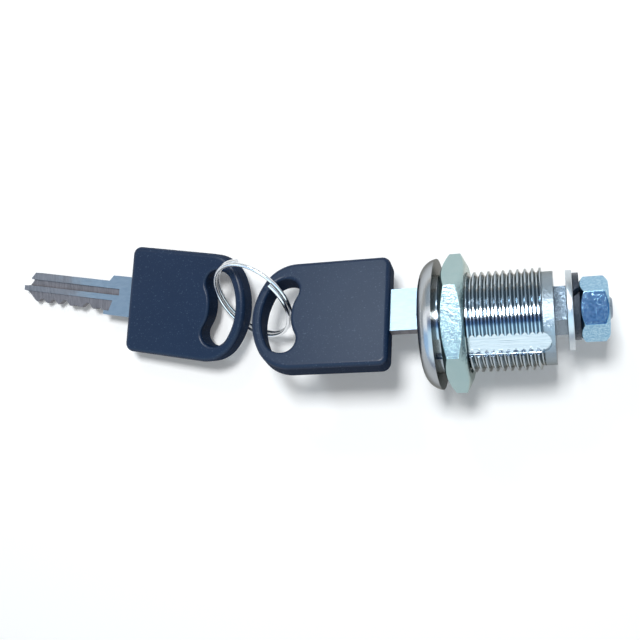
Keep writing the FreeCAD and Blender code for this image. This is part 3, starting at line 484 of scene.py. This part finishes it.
def wound_ring(material):
    maker = bpy.data.objects.new("ring_maker", bpy.data.meshes.new("ring_maker"))
    scene.collection.objects.link(maker)
    modifier = maker.modifiers.new("winding", "NODES")
    modifier.node_group = winding(material)
    for item in modifier.node_group.interface.items_tree:
        if item.in_out == "INPUT" and item.name in ring_sizes:
            modifier[item.identifier] = ring_sizes[item.name]
    mesh = settled_mesh(maker)
    bpy.data.objects.remove(maker)
    facing = ring_axes[0].cross(ring_axes[1])
    place = Matrix((ring_axes[0], ring_axes[1], facing)).transposed().to_4x4()
    mesh.transform(Matrix.Translation(ring_centre) @ place)
    mesh.shade_smooth()
    mesh.set_sharp_from_angle(angle=cut_end)
    piece = bpy.data.objects.new("split_ring", mesh)
    scene.collection.objects.link(piece)
    return piece


split_ring = wound_ring(ring_finish())
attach(split_ring, "ring")
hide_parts("key_ring")


# Wafers and springs: six stamped brass plates and their fine wire springs inside the housing, with the
# retainer and its spring behind them. They show only where the plug is open.
def brass_finish():
    finish = Finish("wafer_brass_plate", Metallic=1.0)
    grain = finish.noise(0.4, 3.0, 0.6, stretch=(1, 0.2, 1))
    tone = finish.mix(grain, (0.66, 0.50, 0.22), (0.80, 0.64, 0.32))
    return finish.finished(Base_Color=tone, Roughness=0.28 + grain * 0.15)


def spring_finish():
    finish = Finish("spring_wire", Metallic=1.0)
    grain = finish.noise(0.2, 2.0, 0.5)
    tone = finish.mix(grain, (0.5, 0.5, 0.5), (0.66, 0.66, 0.67))
    return finish.finished(Base_Color=tone, Roughness=0.25 + grain * 0.1)


inner_metals = {"wafer_brass": brass_finish(), "spring_steel": spring_finish()}
for node, part in frame["nodes"].items():
    if slot_of[node] in inner_metals:
        part.data.materials.clear()
        part.data.materials.append(inner_metals[slot_of[node]])


# Table, light and camera: a white table that glows a little to the camera, and more far from the lock,
# and two lamps above it toward the picture's top. The room's bright and dark bands, from the picture's
# top over the camera to its foot, show in the plating, while matt surfaces get its even light.
table_reach = 3.0
table_glow = 0.12
far_glow = 0.85
far_from_the_lock = (150.0, 700.0)
room_strength = 1.9
white_to_the_camera = (1 / room_strength,) * 3
even_light = (0.11, 0.11, 0.11)


def table():
    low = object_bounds()[0][2]
    mesh = bpy.data.meshes.new("table")
    signs = ((-1, -1), (1, -1), (1, 1), (-1, 1))
    mesh.from_pydata([(x * table_reach, y * table_reach, low) for x, y in signs], [], [(0, 1, 2, 3)])
    finish = Finish("table_white", Roughness=0.9, Specular_IOR_Level=0.0, Base_Color=(0.9, 0.9, 0.9))
    seen = finish.add("ShaderNodeLightPath", output="Is Camera Ray")
    for ray in ("Is Glossy Ray", "Is Transmission Ray"):
        seen = seen.larger(finish.add("ShaderNodeLightPath", output=ray))
    x, y = finish.along("X"), finish.along("Y")
    away = finish.between((x * x + y * y).root(), *far_from_the_lock)
    glowing = {"Color": seen * (table_glow + away * far_glow), "Strength": 1.0}
    glow = finish.add("ShaderNodeEmission", None, glowing)
    lit = Amount(finish, finish.shader.outputs[0])
    both = finish.add("ShaderNodeAddShader", None, {0: lit, 1: glow})
    finish.feed(finish.tree.nodes["Material Output"].inputs["Surface"], both)
    mesh.materials.append(finish.material)
    piece = bpy.data.objects.new("table", mesh)
    scene.collection.objects.link(piece)
    piece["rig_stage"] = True


def lamp(name, place, aim, size, power, colour):
    light = bpy.data.lights.new(name, "AREA")
    light.shape = "RECTANGLE"
    light.size, light.size_y = size
    light.energy = power
    light.color = colour
    holder = bpy.data.objects.new(name, light)
    holder.location = place
    holder.rotation_euler = (Vector(aim) - Vector(place)).to_track_quat("-Z", "Y").to_euler()
    scene.collection.objects.link(holder)


def room():
    world = bpy.data.worlds.new("room")
    scene.world = world
    world.use_nodes = True
    nodes = Nodes(world.node_tree)
    way = nodes.add("ShaderNodeTexCoord", output="Generated")
    x, y, z = (nodes.part_of(way, axis) for axis in "XYZ")
    round_the_barrel = x.maths("ARCTAN2", y * -1, z) / (2 * math.pi) + 0.5
    bands = nodes.add("ShaderNodeValToRGB", {"stops": [
        (0.250, (0.50, 0.43, 0.36)),
        (0.285, (0.24, 0.28, 0.31)),
        (0.408, (0.20, 0.26, 0.31)),
        (0.420, (1.00, 1.00, 1.00)),
        (0.458, (1.00, 1.00, 1.00)),
        (0.470, (0.02, 0.04, 0.10)),
        (0.518, (0.06, 0.15, 0.34)),
        (0.534, (0.56, 0.82, 1.00)),
        (0.585, (0.70, 0.90, 1.00)),
        (0.620, (0.56, 0.78, 0.95)),
        (0.640, (0.82, 0.92, 0.96)),
        (0.690, (0.72, 0.84, 0.90)),
        (0.715, (0.20, 0.24, 0.33)),
        (0.750, (0.24, 0.26, 0.31)),
    ]}, {"Fac": round_the_barrel})
    colour = nodes.mix(nodes.between(x, 0.72, 0.96), bands, (0.12, 0.14, 0.17))
    window = nodes.add("ShaderNodeValToRGB", {"stops": [
        (0.25, (0.40, 0.38, 0.34)),
        (0.38, (0.30, 0.32, 0.33)),
        (0.42, (1.00, 1.00, 1.00)),
        (0.53, (0.95, 0.98, 1.00)),
        (0.56, (0.30, 0.50, 0.75)),
        (0.70, (0.36, 0.56, 0.80)),
        (0.75, (0.40, 0.42, 0.44)),
    ]}, {"Fac": round_the_barrel})
    colour = nodes.mix(nodes.between(x * -1, 0.68, 0.76), colour, window)
    colour = nodes.mix(nodes.between(x * -1, 0.93, 0.98), colour, (0.30, 0.32, 0.34))
    for ray, shown in (("Is Diffuse Ray", even_light), ("Is Camera Ray", white_to_the_camera)):
        colour = nodes.mix(nodes.add("ShaderNodeLightPath", output=ray), colour, shown)
    backdrop = world.node_tree.nodes["Background"]
    nodes.feed(backdrop.inputs["Color"], colour)
    backdrop.inputs["Strength"].default_value = room_strength


table()
lamp("key_lamp", place=(0.0, 0.165, 0.46), aim=(-0.03, 0.0, 0.0), size=(0.12, 0.12), power=2.0,
     colour=(0.97, 0.99, 1.0))
lamp("side_lamp", place=(-0.08, 0.262, 0.235), aim=(-0.02, 0.0, 0.0), size=(0.06, 0.06), power=0.22,
     colour=(0.80, 0.91, 1.0))
room()

scene.view_settings.view_transform = "Standard"
eye_point = Vector((22.94, -4.36, 161.56)) * mm
eye_right = Vector((0.96037, -0.04860, -0.27444)).normalized()
eye_back = eye_right.cross(Vector((0.05723, 0.99808, 0.02352))).normalized()
eye_axes = Matrix((eye_right, eye_back.cross(eye_right), eye_back)).transposed()
picture_width = 640
focal_length_in_pixels = 884.0
camera_data = bpy.data.cameras.new("camera")
camera_data.sensor_width = 36.0
camera_data.lens = focal_length_in_pixels / picture_width * camera_data.sensor_width
camera_data.clip_start = 0.001
camera = bpy.data.objects.new("camera", camera_data)
camera.matrix_world = Matrix.Translation(eye_point) @ eye_axes.to_4x4()
scene.collection.objects.link(camera)
scene.camera = camera
